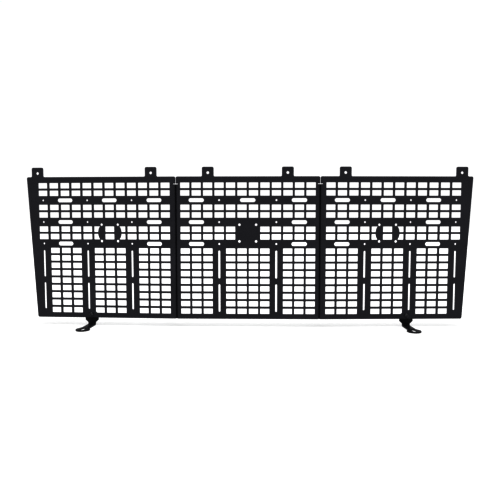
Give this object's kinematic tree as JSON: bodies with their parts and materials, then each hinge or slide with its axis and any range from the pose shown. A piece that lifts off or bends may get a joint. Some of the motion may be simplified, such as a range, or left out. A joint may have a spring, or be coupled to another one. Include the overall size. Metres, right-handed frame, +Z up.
{
  "type": "headache rack",
  "caption": "Low truck headache rack made of bolted flat webbing panels with a rectangular window grid, hanging tabs along the top and adjustable feet at the bottom.",
  "frame": {"origin": "on the floor under the middle of the overall width and depth, at the soles of the feet", "axes": "+X across the truck to the right seen from the bed; +Y to the back of the panels, where the seam flanges are; +Z up. The feet reach out to -Y"},
  "size_m": [1.4958, 0.1183, 0.535],
  "materials": {
    "powder_coat": "fine-textured satin black powder coat",
    "foot_coat": "smooth satin black powder coat",
    "bolt_steel": "black zinc plated, satin",
    "washer_steel": "black zinc plated, satin",
    "nut_steel": "black zinc plated, satin",
    "nylon": "black nylon, matt"
  },
  "bodies": {
    "rack": {"center_panel": "powder_coat", "left_panel": "powder_coat", "right_panel": "powder_coat", "left_seam_bolts": "bolt_steel", "left_seam_head_washers": "washer_steel", "left_seam_nut_washers": "washer_steel", "left_seam_nuts": "nut_steel", "left_seam_nut_rings": "nylon", "left_foot_bolt": "bolt_steel", "left_foot_washer": "washer_steel", "left_foot_nut": "nut_steel", "left_foot_nut_ring": "nylon", "right_seam_bolts": "bolt_steel", "right_seam_head_washers": "washer_steel", "right_seam_nut_washers": "washer_steel", "right_seam_nuts": "nut_steel", "right_seam_nut_rings": "nylon", "right_foot_bolt": "bolt_steel", "right_foot_washer": "washer_steel", "right_foot_nut": "nut_steel", "right_foot_nut_ring": "nylon"},
    "left_foot": {"left_foot": "foot_coat"},
    "right_foot": {"right_foot": "foot_coat"}
  },
  "joints": [
    {"name": "left_foot_height", "type": "slide", "parent": "rack", "child": "left_foot", "axis": [0, 0, 1], "range_m": [-0.004, 0.004]},
    {"name": "right_foot_height", "type": "slide", "parent": "rack", "child": "right_foot", "axis": [0, 0, 1], "range_m": [-0.004, 0.004]}
  ]
}
